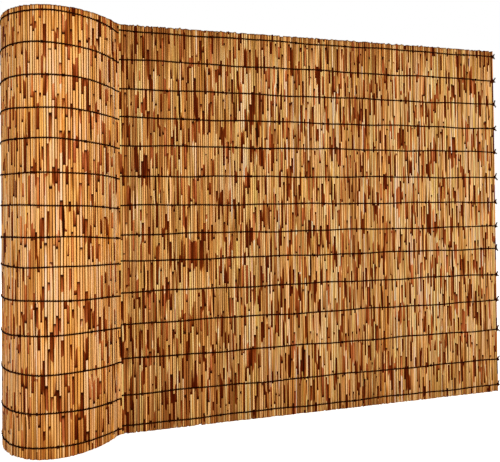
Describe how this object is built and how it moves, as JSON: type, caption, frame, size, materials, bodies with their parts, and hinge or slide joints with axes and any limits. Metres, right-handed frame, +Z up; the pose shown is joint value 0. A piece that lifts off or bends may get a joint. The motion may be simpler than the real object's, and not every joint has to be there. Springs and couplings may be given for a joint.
{
  "type": "reed fence",
  "caption": "Garden screen of upright reeds bound by rows of dark wire, open as a flat panel at one end and still rolled up at the other, standing on its reed ends.",
  "frame": {"origin": "on the ground under the middle of the whole object", "axes": "+X along the open panel from the roll to the free edge, +Y from the face seen in the picture to the back, +Z up along the reeds"},
  "size_m": [2.0192, 0.4426, 1.5],
  "materials": {
    "reed": "dry natural reed, matt",
    "wire": "dark annealed steel wire, satin"
  },
  "bodies": {
    "root": {"reed_mat": "reed", "front_wire_01": "wire", "front_wire_02": "wire", "front_wire_03": "wire", "front_wire_04": "wire", "front_wire_05": "wire", "front_wire_06": "wire", "front_wire_07": "wire", "front_wire_08": "wire", "front_wire_09": "wire", "front_wire_10": "wire", "front_wire_11": "wire", "front_wire_12": "wire", "front_wire_13": "wire", "front_wire_14": "wire", "back_wire_01": "wire", "back_wire_02": "wire", "back_wire_03": "wire", "back_wire_04": "wire", "back_wire_05": "wire", "back_wire_06": "wire", "back_wire_07": "wire", "back_wire_08": "wire", "back_wire_09": "wire", "back_wire_10": "wire", "back_wire_11": "wire", "back_wire_12": "wire", "back_wire_13": "wire", "back_wire_14": "wire"}
  },
  "joints": []
}
